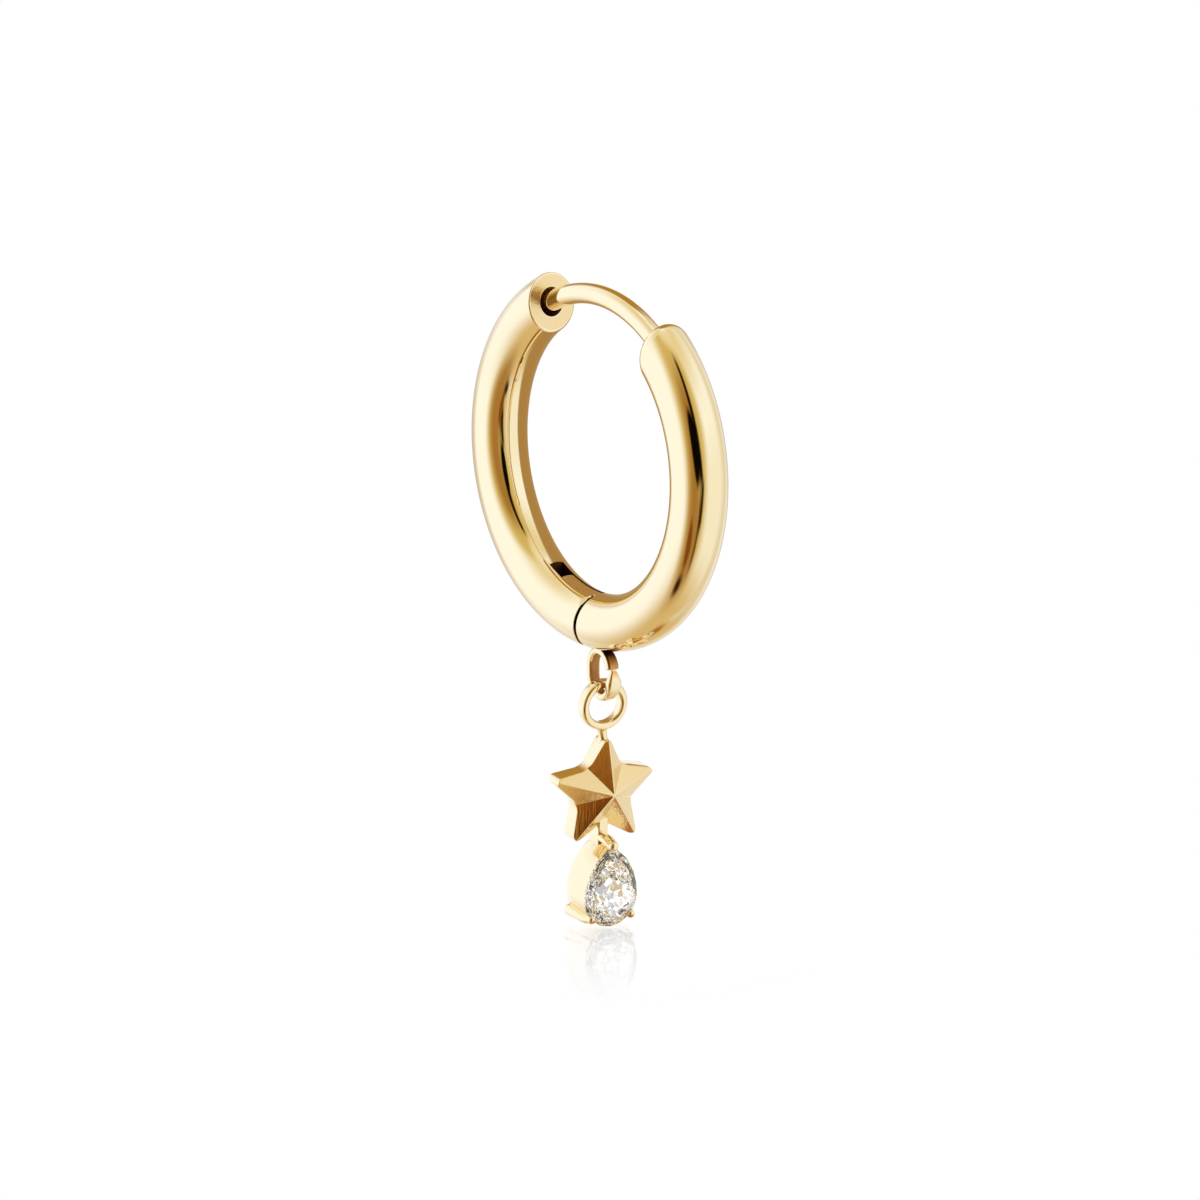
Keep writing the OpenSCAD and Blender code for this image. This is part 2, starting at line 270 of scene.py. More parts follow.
# Cuts one piece with another and leaves the cut faces in the metal given. Both carry all the metals.
def cutWith(target, cutter, metal):
    for face in cutter.data.polygons:
        face.material_index = metals.index(metal)
    change = target.modifiers.new("cut", "BOOLEAN")
    change.operation = "DIFFERENCE"
    change.solver = "EXACT"
    change.object = cutter
    bakeModifiers(target)
    bpy.data.objects.remove(cutter)
    shade(target.data, True, 30.0, outwards=False)


def bakeModifiers(target):
    bpy.context.view_layer.update()
    graph = bpy.context.evaluated_depsgraph_get()
    data = bpy.data.meshes.new_from_object(target.evaluated_get(graph), depsgraph=graph)
    target.modifiers.clear()
    target.data = data


def placed(target, matrix):
    target.data.transform(matrix)
    return target


hoop = {"centreR": 7.25, "tubeR": 1.25, "sides": 144, "postEnd": 52.5, "postTilt": 20.0,
        "endRound": 0.6, "catchEnd": 117.0, "endBevel": 0.1, "partingGap": 0.19, "partingLean": 9.0,
        "partingFoot": 8.05, "edgeBevel": 0.035, "innerFlat": 0.16}
wire = {"r": 0.45, "sides": 64, "start": 42.0, "reach": 0.35, "socketGap": 0.15, "socketDepth": 3.0,
        "mouthBevel": 0.06}
hinge = {"back": 1.45, "out": 0.49, "eyeR": 0.7, "tongue": 0.65, "gap": 0.05, "boreR": 0.29,
         "boreL": 2.0, "seatR": 0.26, "seatL": 1.735, "slotBack": 1.55, "slotAhead": 0.5,
         "slotTop": -3.0, "slotFoot": -11.0, "under": 0.003, "sunk": 0.04, "sunkFrom": 0.3,
         "sunkTo": -0.1, "root": 0.6}
# Flat filed on the catch half's inner edge beside the slot: where it lies, which way it faces and
# how far its cutter reaches
filed = {"at": (0.156, -6.055, 0.365), "facing": (0.27, 0.834, 0.625), "across": (-0.4, 1.0),
         "along": (-0.6, 1.0), "deep": 0.6}
# Rows of points in each stretch of the hoop's pieces
rowsIn = {"socket": 11, "endFace": 5, "catchTube": 320, "catchParting": 10, "postFace": 6,
          "postRound": 14, "postTube": 300, "postParting": 8, "tongue": 80, "tongueAcross": 14}


# The hoop's own plane: u to the front, v up from its middle, w across
def inHoop(u, v, w):
    return Vector((-w, -u, v - hoop["centreR"])) * mm


# Point at one angle round the hoop and one round the tube, a distance from the tube's middle
def onTube(phi, theta, r):
    away = hoop["centreR"] + r * math.cos(theta)
    return inHoop(away * math.cos(phi), away * math.sin(phi), r * math.sin(theta))


# Gives the part of a mesh that lies on the tube the tube's own normals
def tubeNormals(target):
    near = 0.002
    data = target.data
    normals = [Vector()] * len(data.loops)
    for face in data.polygons:
        exact = []
        for index in face.vertices:
            p = data.vertices[index].co / mm + Vector((0, 0, hoop["centreR"]))
            exact.append(p - Vector((0, p.y, p.z)).normalized() * hoop["centreR"])
        onSurface = all(abs(e.length - hoop["tubeR"]) < near for e in exact)
        if onSurface and exact[0].normalized().dot(face.normal) > 0.9:
            for loopIndex, e in zip(face.loop_indices, exact):
                normals[loopIndex] = e.normalized()
    data.normals_split_custom_set(normals)


thetas = turns(hoop["sides"])
pinAt = (-hinge["back"], -math.sqrt((hoop["centreR"] + hinge["out"]) ** 2 - hinge["back"] ** 2))


def arcTo(length):
    return length / hoop["centreR"]


# Angle round the hoop at which a straight cut through the tube meets one radius
def cutAngle(away, corner, line):
    return line + math.asin(hoop["centreR"] * math.sin(corner - line) / away)


# The parting face leans: nearer the hoop's inside it lies further to the front. The heel's radius is
# the distance from the pin to the face of the catch half.
partingLean = math.radians(hoop["partingLean"])
slope = math.tan(partingLean)
partingAt = -math.pi / 2 + math.asin((hoop["partingFoot"] - hoop["centreR"]) * slope / hoop["centreR"])
partingLine = -math.pi / 2 - partingLean
heelR = (((hoop["partingFoot"] + pinAt[1]) * slope - hoop["partingGap"] - pinAt[0])
         * math.cos(partingLean))


# Point of the catch half's parting face, a distance from the hoop's middle. Its height and its place
# along the hoop depend on each other, so a few rounds find them. Below the pin it is a round heel.
def partingPoint(away):
    u = -hoop["partingGap"]
    for _ in range(8):
        v = -math.sqrt(away ** 2 - u ** 2)
        below = pinAt[1] - v
        u = (hoop["partingFoot"] + v) * slope - hoop["partingGap"]
        if below > heelR * math.sin(partingLean):
            u = pinAt[0] + math.sqrt(max(heelR ** 2 - below ** 2, 0))
    return u, v


# Rear half of the hoop, in one skin: socket, end face, tube and parting face
def buildCatchHalf():
    tubeR = hoop["tubeR"]
    socketR = wire["r"] + wire["socketGap"]
    end = math.radians(hoop["catchEnd"])
    corner = (hoop["centreR"] * math.cos(end), hoop["centreR"] * math.sin(end))
    lean = math.atan2(corner[1] - pinAt[1], corner[0] - pinAt[0])
    floor = end + arcTo(wire["socketDepth"])
    # The parting's edge has a wide flat at the inside of the hoop
    rimBevel = [hoop["edgeBevel"] + hoop["innerFlat"] * max(0.0, -math.cos(t)) ** 6 for t in thetas]

    def facePhi(r, theta):
        return cutAngle(hoop["centreR"] + r * math.cos(theta), end, lean)

    def ring(r, past):
        return [onTube(facePhi(r, t) + arcTo(past), t, r) for t in thetas]

    def socketRow(f):
        return [onTube(floor + (facePhi(socketR, t) + arcTo(wire["mouthBevel"]) - floor) * f, t, socketR)
                for t in thetas]

    def tubeRow(f):
        found = []
        for t, b in zip(thetas, rimBevel):
            u, v = partingPoint(hoop["centreR"] + tubeR * math.cos(t))
            start = facePhi(tubeR, t) + arcTo(hoop["endBevel"])
            stop = math.atan2(v, u) + 2 * math.pi - arcTo(b)
            found.append(onTube(start * (1 - f) + stop * f, t, tubeR))
        return found

    def endRow(share, bevels):
        return [inHoop(*partingPoint(hoop["centreR"] + (tubeR - b) * share * math.cos(t)),
                       (tubeR - b) * share * math.sin(t)) for t, b in zip(thetas, bevels)]

    rows = [[onTube(floor, t, socketR / 2) for t in thetas]]
    bands = []
    # The socket's inside carries painted shade
    count = rowsIn["socket"]
    addRows(rows, bands, [socketRow(i / count) for i in range(count + 1)], insideShadeGold)
    inner = ring(socketR + wire["mouthBevel"], 0)
    outer = ring(tubeR - hoop["endBevel"], 0)
    addRows(rows, bands, roundRows(rows[-1], ring(socketR, 0), inner, 5) + [inner], gold)
    count = rowsIn["endFace"]
    addRows(rows, bands, [lerpRow(inner, outer, i / count) for i in range(1, count + 1)], filedGold)
    addRows(rows, bands, roundRows(outer, ring(tubeR, 0), ring(tubeR, hoop["endBevel"]), 8), gold)
    count = rowsIn["catchTube"]
    addRows(rows, bands, [tubeRow(i / count) for i in range(count + 1)], gold)
    edge = endRow(1, [0] * len(thetas))
    addRows(rows, bands, roundRows(rows[-1], edge, endRow(1, rimBevel), 5), gold)
    # The parting face carries painted shade
    count = rowsIn["catchParting"]
    addRows(rows, bands, [endRow(1 - i / count, rimBevel) for i in range(count)], recessShade)
    made = skin("hoopCatchHalf", rows, metals, bands)
    rear = pinAt[0] - hinge["slotBack"]
    rearFoot = pinAt[0] - hinge["eyeR"] - hinge["gap"]
    slot = [(rearFoot, hinge["slotFoot"]), (hinge["slotAhead"], hinge["slotFoot"]),
            (hinge["slotAhead"], hinge["slotTop"]), (rear, hinge["slotTop"]), (rear, pinAt[1]),
            (rearFoot, pinAt[1])]
    # The slot's walls and the pin's seat carry painted shade
    cutWith(made, prism("slotCutter", slot, hinge["tongue"] / 2 + hinge["gap"]), recessShade)
    cutWith(made, pinCutter(hinge["seatR"], hinge["seatL"]), recessShade)
    for side in (1, -1):
        cutWith(made, filedCutter(side), filedGold)
    tubeNormals(made)
    return made


def prism(name, outline, half):
    count = len(outline)
    verts = [inHoop(u, v, w) for w in (-half, half) for u, v in outline]
    faces = [tuple(range(count)), tuple(range(count, 2 * count))]
    faces += [(i, (i + 1) % count, count + (i + 1) % count, count + i) for i in range(count)]
    return meshObject(name, verts, faces, metals)


def pinCutter(r, length):
    outline = [(pinAt[0] + r * math.cos(a), pinAt[1] + r * math.sin(a)) for a in turns(48)]
    return prism("pinCutter", outline, length / 2)


def filedCutter(side):
    normal = Vector(filed["facing"]).normalized()
    across = Vector((0, 0, 1)).cross(normal).normalized()
    along = normal.cross(across)
    (a0, a1), (b0, b1) = filed["across"], filed["along"]
    verts = []
    for depth in (0, filed["deep"]):
        for a, b in ((a0, b0), (a1, b0), (a1, b1), (a0, b1)):
            p = Vector(filed["at"]) + across * a + along * b + normal * depth
            verts.append(inHoop(p.x, p.y, p.z * side))
    faces = [(0, 1, 2, 3), (4, 5, 6, 7), (0, 1, 5, 4), (1, 2, 6, 5), (2, 3, 7, 6), (3, 0, 4, 7)]
    return meshObject("filedCutter", verts, faces, metals)


# Front half of the hoop: its rounded top end, tube and parting face
def buildPostHalf():
    tubeR = hoop["tubeR"]
    endRound = hoop["endRound"]
    faceR = tubeR - hoop["edgeBevel"]
    top = math.radians(hoop["postEnd"])
    line = top + math.radians(hoop["postTilt"])

    def topPhi(r, theta):
        return cutAngle(hoop["centreR"] + r * math.cos(theta), top, line)

    def parting(r, theta):
        return cutAngle(hoop["centreR"] + r * math.cos(theta), partingAt, partingLine)

    def ring(r, back):
        return [onTube(topPhi(r, t) - arcTo(back), t, r) for t in thetas]

    def tubeRow(f):
        return [onTube((topPhi(tubeR, t) - arcTo(endRound)) * (1 - f)
                       + (parting(tubeR, t) + arcTo(hoop["edgeBevel"])) * f, t, tubeR) for t in thetas]

    def endRow(r):
        return [onTube(parting(r, t), t, r) for t in thetas]

    count = rowsIn["postFace"]
    rows = [ring((tubeR - endRound) / count, 0)]
    bands = []
    addRows(rows, bands, [ring((tubeR - endRound) * i / count, 0) for i in range(2, count + 1)], gold)
    count = rowsIn["postRound"]
    for i in range(1, count + 1):
        a = math.pi / 2 * (1 - i / count)
        row = ring(tubeR - endRound * (1 - math.cos(a)), endRound * (1 - math.sin(a)))
        addRows(rows, bands, [row], gold)
    count = rowsIn["postTube"]
    addRows(rows, bands, [tubeRow(i / count) for i in range(1, count + 1)], gold)
    addRows(rows, bands, roundRows(rows[-1], endRow(tubeR), endRow(faceR), 5), gold)
    count = rowsIn["postParting"]
    addRows(rows, bands, [endRow(faceR * (1 - i / count)) for i in range(count)], recessShade)
    made = skin("hoopPostHalf", rows, metals, bands)
    tubeNormals(made)
    return made


# Flat tongue of the hinge. Its top lies a little under the inside of the tube and comes up to it at
# the root. Its lower end follows the eye.
def buildTongue():
    half = hinge["tongue"] / 2
    left = pinAt[0] - hinge["eyeR"]
    rows = []
    for i in range(rowsIn["tongue"] + 1):
        u = left + (hinge["root"] - left) * i / rowsIn["tongue"]
        sunk = hinge["under"] + hinge["sunk"] * eased(u, hinge["sunkFrom"], hinge["sunkTo"])
        low = pinAt[1] - hinge["eyeR"]
        if u < pinAt[0]:
            low = pinAt[1] - math.sqrt(max(hinge["eyeR"] ** 2 - (u - pinAt[0]) ** 2, 0))
        row = []
        for j in range(rowsIn["tongueAcross"] + 1):
            w = -half + 2 * half * j / rowsIn["tongueAcross"]
            inner = hoop["centreR"] - math.sqrt(hoop["tubeR"] ** 2 - w ** 2) + sunk
            row.append(inHoop(u, -math.sqrt(inner ** 2 - u ** 2), w))
        row += [inHoop(u, low, half), inHoop(u, low, -half)]
        rows.append(row)
    made = skin("hingeTongue", rows, metals, [metals.index(filedGold)] * (len(rows) - 1))
    # The bore's wall carries painted shade
    cutWith(made, pinCutter(hinge["boreR"], hinge["boreL"]), recessShade)
    return made


catchHalf = buildCatchHalf()
postHalf = buildPostHalf()
tongue = buildTongue()
print("hoop halves made")


# A tree whose inputs are all sizes
def newGroup(name, labels):
    tree = bpy.data.node_groups.new(name, "GeometryNodeTree")
    for label in labels:
        tree.interface.new_socket(name=label, in_out="INPUT", socket_type="NodeSocketFloat")
    tree.interface.new_socket(name="Geometry", in_out="OUTPUT", socket_type="NodeSocketGeometry")
    return tree


def finishGroup(tree, geometry, material):
    painted = addNode(tree, "GeometryNodeSetMaterial", {"Geometry": geometry, "Material": material})
    real = addNode(tree, "GeometryNodeRealizeInstances", {"Geometry": painted.outputs["Geometry"]})
    addNode(tree, "NodeGroupOutput", {"Geometry": real.outputs["Geometry"]})


# Runs a node group with its named lengths, and other numbers, keeps the mesh that it makes and drops
# the modifier
def grown(name, tree, lengths, numbers):
    made = linked(name, bpy.data.meshes.new(name))
    change = made.modifiers.new("grow", "NODES")
    change.node_group = tree
    values = {label: length * mm for label, length in lengths.items()}
    values.update(numbers)
    for item in tree.interface.items_tree:
        if item.item_type == "SOCKET" and item.in_out == "INPUT" and item.name in values:
            change[item.identifier] = values[item.name]
    bakeModifiers(made)
    shade(made.data, True, 40.0, merge=True)
    return made


# Size of the section near an end, as a quarter circle from nothing to full
def domed(tree, share):
    away = addNode(tree, "ShaderNodeMath", {0: 1.0, 1: share}, operation="SUBTRACT").outputs[0]
    squared = addNode(tree, "ShaderNodeMath", {0: away, 1: away}, operation="MULTIPLY").outputs[0]
    rest = addNode(tree, "ShaderNodeMath", {0: 1.0, 1: squared}, operation="SUBTRACT").outputs[0]
    return addNode(tree, "ShaderNodeMath", {0: rest}, operation="SQRT").outputs[0]


# Distances along a path from its start and to its end
def fromEnds(tree):
    along = addNode(tree, "GeometryNodeSplineParameter").outputs["Length"]
    whole = addNode(tree, "GeometryNodeSplineLength").outputs["Length"]
    left = addNode(tree, "ShaderNodeMath", {0: whole, 1: along}, operation="SUBTRACT").outputs[0]
    return along, left


# Section of a flat band with rounded edges
def bandSection(tree, given):
    flat = addNode(tree, "GeometryNodeCurvePrimitiveQuadrilateral", {"Width": given["Band"],
                   "Height": given["Width"]})
    return addNode(tree, "GeometryNodeFilletCurve", {"Curve": flat.outputs["Curve"], "Count": 8,
                   "Radius": given["Edge"], "Limit Radius": True}, mode="POLY").outputs["Curve"]


def sweptBar(tree, path, section, size):
    sized = addNode(tree, "GeometryNodeSetCurveRadius", {"Curve": path, "Radius": size})
    bar = addNode(tree, "GeometryNodeCurveToMesh", {"Curve": sized.outputs["Curve"],
                  "Profile Curve": section, "Fill Caps": True})
    if "Scale" in bar.inputs:
        tree.links.new(size, bar.inputs["Scale"])
    return bar.outputs["Mesh"]


# A round bar bent along an arc, with a round tip at its far end
def bentBarGroup():
    tree = newGroup("bentBar", ("Centre Radius", "Bar Radius", "Start", "Sweep"))
    given = addNode(tree, "NodeGroupInput").outputs
    path = addNode(tree, "GeometryNodeCurveArc", {"Resolution": 500, "Radius": given["Centre Radius"],
                   "Start Angle": given["Start"], "Sweep Angle": given["Sweep"]}, mode="RADIUS")
    left = fromEnds(tree)[1]
    share = addNode(tree, "ShaderNodeMath", {0: left, 1: given["Bar Radius"]}, operation="DIVIDE",
                    use_clamp=True).outputs[0]
    section = addNode(tree, "GeometryNodeCurvePrimitiveCircle", {"Resolution": wire["sides"],
                      "Radius": given["Bar Radius"]})
    bar = sweptBar(tree, path.outputs["Curve"], section.outputs["Curve"], domed(tree, share))
    finishGroup(tree, bar, gold)
    return tree


# A flat band bent into a round ring
def bandRingGroup():
    tree = newGroup("bandRing", ("Middle Radius", "Band", "Width", "Edge"))
    given = addNode(tree, "NodeGroupInput").outputs
    across = addNode(tree, "ShaderNodeMath", {0: given["Middle Radius"], 1: 2.0},
                     operation="MULTIPLY").outputs[0]
    square = addNode(tree, "GeometryNodeCurvePrimitiveQuadrilateral", {"Width": across,
                     "Height": across})
    path = addNode(tree, "GeometryNodeFilletCurve", {"Curve": square.outputs["Curve"], "Count": 48,
                   "Radius": given["Middle Radius"], "Limit Radius": True}, mode="POLY")
    band = addNode(tree, "GeometryNodeCurveToMesh", {"Curve": path.outputs["Curve"],
                   "Profile Curve": bandSection(tree, given)})
    finishGroup(tree, band.outputs["Mesh"], gold)
    return tree


hoopPlane = Matrix.Translation((0, 0, -hoop["centreR"] * mm)) @ Matrix(
    ((0, 0, -1, 0), (-1, 0, 0, 0), (0, 1, 0, 0), (0, 0, 0, 1)))


def buildEarWire():
    start = math.radians(wire["start"])
    stop = math.radians(hoop["catchEnd"]) + arcTo(wire["reach"])
    made = grown("earWire", bentBarGroup(), {"Centre Radius": hoop["centreR"], "Bar Radius": wire["r"]},
                 {"Start": start, "Sweep": stop - start})
    return placed(made, hoopPlane)


loop = {"forward": 0.45, "outerD": 2.1, "side": 0.35, "band": 0.36, "width": 0.6, "sink": 0.15,
        "seam": 0.02, "seamAngle": 9.0, "edge": 0.17, "dome": 0.1, "tipSize": 0.45, "taper": 0.55,
        "settle": 2.4, "endSize": 0.5, "swell": 0.22, "twist": 0.05, "shadeTop": -15.85,
        "shadeFoot": -16.6, "shadeFade": 0.25}
drop = {"turn": -7.0, "lean": 4.0, "ringD": 2.3, "ringBand": 0.36, "ringWidth": 0.6, "ringEdge": 0.17,
        "linkGap": 0.04, "neckL": 0.42, "neckD": 0.42, "neckFlare": 0.5, "inStar": 0.2, "inRing": 0.1}
# Painted shade on the loop's outward faces just under the hoop
underHoopShade = shadedUnderHoopGold(loop["shadeTop"], loop["shadeFoot"], loop["shadeFade"])
loopInR = loop["outerD"] / 2 - loop["band"]
loopLow = -hoop["centreR"] - hoop["tubeR"] + loop["sink"] - loop["outerD"] - loop["side"]
pivot = (loop["forward"], loopLow + loop["band"] / 2)


# One turn of flat band with straight sides. Its ends lie a twist apart. Both are domed, and the first
# starts narrow and swells before it settles to the band's own size.
def openLoopGroup():
    tree = newGroup("openLoop", ("Middle Radius", "Side", "Band", "Width", "Edge", "Gap", "Seam Angle",
                                 "Dome", "Tip Size", "Taper", "Settle", "End Size", "Swell", "Twist"))
    given = addNode(tree, "NodeGroupInput").outputs
    girth = addNode(tree, "ShaderNodeMath", {0: given["Middle Radius"], 1: 2 * math.pi},
                    operation="MULTIPLY").outputs[0]
    lost = addNode(tree, "ShaderNodeMath", {0: given["Gap"], 1: girth}, operation="DIVIDE").outputs[0]
    rounds = addNode(tree, "ShaderNodeMath", {0: 1.0, 1: lost}, operation="SUBTRACT").outputs[0]
    coil = addNode(tree, "GeometryNodeCurveSpiral", {"Resolution": 160, "Rotations": rounds,
                   "Start Radius": given["Middle Radius"], "End Radius": given["Middle Radius"],
                   "Height": given["Twist"]})
    down = addNode(tree, "ShaderNodeMath", {0: given["Twist"], 1: -0.5},
                   operation="MULTIPLY").outputs[0]
    shift = addNode(tree, "ShaderNodeCombineXYZ", {"Z": down})
    turned = addNode(tree, "ShaderNodeCombineXYZ", {"Z": given["Seam Angle"]})
    stood = addNode(tree, "GeometryNodeTransform", {"Geometry": coil.outputs["Curve"],
                    "Translation": shift.outputs[0], "Rotation": turned.outputs[0]})
    # The upper half moves up, which makes the straight sides
    place = addNode(tree, "GeometryNodeInputPosition").outputs["Position"]
    height = addNode(tree, "ShaderNodeSeparateXYZ", {0: place}).outputs["Y"]
    above = addNode(tree, "ShaderNodeMath", {0: height, 1: 0.0}, operation="GREATER_THAN").outputs[0]
    lift = addNode(tree, "ShaderNodeMath", {0: above, 1: given["Side"]},
                   operation="MULTIPLY").outputs[0]
    up = addNode(tree, "ShaderNodeCombineXYZ", {"Y": lift})
    path = addNode(tree, "GeometryNodeSetPosition", {"Geometry": stood.outputs["Geometry"],
                   "Offset": up.outputs[0]})
    # The band's size along its length
    along, left = fromEnds(tree)
    first, last = [addNode(tree, "ShaderNodeMath", {0: away, 1: given["Dome"]}, operation="DIVIDE",
                           use_clamp=True).outputs[0] for away in (along, left)]
    tips = addNode(tree, "ShaderNodeMath", {0: domed(tree, first), 1: domed(tree, last)},
                   operation="MULTIPLY").outputs[0]
    tips = addNode(tree, "ShaderNodeMapRange", {"Value": tips, "To Min": given["Tip Size"]})
    full = addNode(tree, "ShaderNodeMath", {0: given["Swell"], 1: 1.0}, operation="ADD").outputs[0]
    grow = addNode(tree, "ShaderNodeMapRange", {"Value": along, "From Max": given["Taper"],
                   "To Min": given["End Size"], "To Max": full}, interpolation_type="SMOOTHSTEP")
    settled = addNode(tree, "ShaderNodeMath", {0: given["Taper"], 1: given["Settle"]},
                      operation="MULTIPLY").outputs[0]
    ease = addNode(tree, "ShaderNodeMapRange", {"Value": along, "From Min": given["Taper"],
                   "From Max": settled, "To Min": 0.0, "To Max": given["Swell"]},
                   interpolation_type="SMOOTHSTEP")
    body = addNode(tree, "ShaderNodeMath", {0: grow.outputs["Result"], 1: ease.outputs["Result"]},
                   operation="SUBTRACT").outputs[0]
    size = addNode(tree, "ShaderNodeMath", {0: body, 1: tips.outputs["Result"]},
                   operation="MULTIPLY").outputs[0]
    finishGroup(tree, sweptBar(tree, path.outputs["Geometry"], bandSection(tree, given), size), gold)
    return tree


# Loop under the hoop, bent from flat band and soldered, its joint left a little open. The faces that
# look inwards are dull metal with painted shade, and those that look outwards get painted shade that
# darkens towards the hoop.
def buildCharmLoop():
    made = grown("charmLoop", openLoopGroup(), {"Middle Radius": (loop["outerD"] - loop["band"]) / 2,
                 "Side": loop["side"], "Band": loop["band"], "Width": loop["width"],
                 "Edge": loop["edge"], "Gap": loop["seam"], "Dome": loop["dome"],
                 "Taper": loop["taper"], "Twist": loop["twist"]},
                 {"Seam Angle": math.radians(loop["seamAngle"]), "Tip Size": loop["tipSize"],
                  "Settle": loop["settle"], "End Size": loop["endSize"], "Swell": loop["swell"]})
    straight = 0.8
    made.data.materials.append(insideShadeGold)
    made.data.materials.append(underHoopShade)
    # Inward faces get the dull metal with painted shade, outward faces the painted shade under the hoop
    for face in made.data.polygons:
        middle = Vector((0, min(max(face.center.y, 0), loop["side"] * mm), 0))
        inward = face.normal.dot((middle - face.center).normalized())
        if inward > straight:
            face.material_index = 1
        elif inward < -straight:
            face.material_index = 2
    turned = Matrix.Rotation(math.radians(drop["turn"]), 4, "Y")
    lift = Matrix.Translation((loop["forward"] * mm, (loopLow + loop["outerD"] / 2) * mm, 0))
    return placed(made, hoopPlane @ lift @ turned)


earWire = buildEarWire()
charmLoop = buildCharmLoop()
print("ear wire and loop made")

star = {"r": 2.43, "sharpR": 2.7, "innerR": 1.42, "rim": 0.9, "valley": 0.2, "peak": 0.76, "points": 5,
        "fillet": 0.75, "tipSteps": 6, "filletSteps": 6, "bevel": 0.05, "ridgeShare": 1.0,
        "valleyShare": 0.6, "edgeShare": 0.9, "aside": 0.09, "apexUp": 0.1,
        "longer": (0.0, -0.02, 0.12, 0.1, 0.17)}
# The charm's own plane: x to the right, y up from the star's centre, z to the front
sag = loopInR - math.sqrt(loopInR ** 2 - drop["ringWidth"] ** 2 / 4)
ringInR = drop["ringD"] / 2 - drop["ringBand"]
ringDrop = ringInR - math.hypot(loop["width"] / 2, loop["band"] / 2 + sag) - drop["linkGap"]
starDown = ringDrop + drop["ringD"] / 2 + drop["neckL"] + star["r"]
dropPlane = (Matrix.Translation((0, -pivot[0] * mm, (pivot[1] - hoop["centreR"]) * mm))
             @ Matrix.Rotation(math.radians(drop["turn"]), 4, "Z")
             @ Matrix.Rotation(math.radians(90 + drop["lean"]), 4, "X")
             @ Matrix.Translation((0, -starDown * mm, 0)))


def buildRing():
    made = grown("hangingRing", bandRingGroup(), {"Middle Radius": (drop["ringD"] - drop["ringBand"]) / 2,
                 "Band": drop["ringBand"], "Width": drop["ringWidth"], "Edge": drop["ringEdge"]}, {})
    return placed(made, dropPlane @ Matrix.Translation((0, (starDown - ringDrop) * mm, 0)))


def starPoint(r, angle):
    return Vector((r * math.sin(angle), r * math.cos(angle), 0))


# Five-pointed star with a ridged front, round points and round inner corners
def buildStar():
    half = star["rim"] / 2
    step = math.pi / star["points"]
    longest = [star["sharpR"] + more for more in star["longer"]]
    lean = math.atan2(star["innerR"] * math.sin(step), star["sharpR"] - star["innerR"] * math.cos(step))
    tipRound = (star["sharpR"] - star["r"]) / (1 / math.sin(lean) - 1)
    cornerTurn = math.pi / 2 - step - lean
    filletAt = star["innerR"] + star["fillet"] / math.cos(cornerTurn)
    apex = Vector((0, star["apexUp"], half + star["peak"]))

    # Raises a point of the rim to the facet on one side of an arm's ridge
    def onFacet(p, i, side):
        tip = starPoint(longest[i % star["points"]], 2 * step * i) + Vector((0, 0, half))
        corner = starPoint(star["innerR"], (2 * i + side) * step) + Vector((0, 0, half - star["valley"]))
        normal = (tip - apex).cross(corner - apex)
        away = p - apex
        return Vector((p.x, p.y, apex.z - (normal.x * away.x + normal.y * away.y) / normal.z))

    rim = []
    ridges = []
    valleys = []
    for i in range(star["points"]):
        arm = 2 * step * i
        middle = starPoint(star["r"] - tipRound + star["longer"][i], arm)
        for k in range(star["tipSteps"] + 1):
            t = 2 * k / star["tipSteps"] - 1
            p = middle + starPoint(tipRound, arm + t * (math.pi / 2 - lean))
            ridges += [len(rim)] if t == 0 else []
            rim.append(onFacet(p, i, 1 if t >= 0 else -1))
        middle = starPoint(filletAt, arm + step)
        for k in range(star["filletSteps"] + 1):
            t = 1 - 2 * k / star["filletSteps"]
            p = middle - starPoint(star["fillet"], arm + step + t * cornerTurn)
            valleys += [len(rim)] if t == 0 else []
            rim.append(onFacet(p, i if t >= 0 else i + 1, 1 if t >= 0 else -1))
    count = len(rim)
    verts = [apex] + rim + [Vector((p.x, p.y, -half)) for p in rim]
    faces = [tuple(range(count + 1, 2 * count + 1))]
    for i in range(count):
        k = (i + 1) % count
        faces.append((1 + i, 1 + k, 1 + k + count, 1 + i + count))
    creases = sorted(ridges + valleys)
    for start, stop in zip(creases, creases[1:] + [creases[0] + count]):
        faces.append((0,) + tuple(1 + k % count for k in range(start, stop + 1)))
    slots = [0] * (count + 1) + [1] * len(creases)
    made = meshObject("starBody", [v * mm for v in verts], faces, [gold, hairlineGold], slots, True, 180.0)
    # How much of the bevel each crease and the front edge get
    weights = made.data.attributes.new("bevel_weight_edge", "FLOAT", "EDGE")
    for edge in made.data.edges:
        a, b = sorted(edge.vertices)
        if a == 0:
            weights.data[edge.index].value = star["ridgeShare"] if b - 1 in ridges else star["valleyShare"]
        elif (a <= count) == (b <= count):
            weights.data[edge.index].value = star["edgeShare"]
    softened(made, star["bevel"], "WEIGHT")
    return placed(made, dropPlane @ Matrix.Translation((star["aside"] * mm, 0, 0)))


# Rounds edges a little and lets the large faces keep their flat look
def softened(target, width, limit):
    change = target.modifiers.new("bevel", "BEVEL")
    change.width = width * mm
    change.segments = 3
    change.limit_method = limit
    change.use_clamp_overlap = False
    even = target.modifiers.new("even", "WEIGHTED_NORMAL")
    even.mode = "FACE_AREA"
    even.weight = 50
    bakeModifiers(target)
    return target


stone = {"width": 2.65, "length": 3.8, "below": 0.76, "front": 0.84, "crown": 0.5, "girdle": 0.08,
         "pavilion": 1.15, "table": 0.56, "sides": 160}
stoneTip = stone["length"] - stone["width"] / 2
stoneAt = -star["innerR"] - stone["below"] - stoneTip
girdleZ = star["rim"] / 2 + stone["front"]
backZ = -star["rim"] / 2


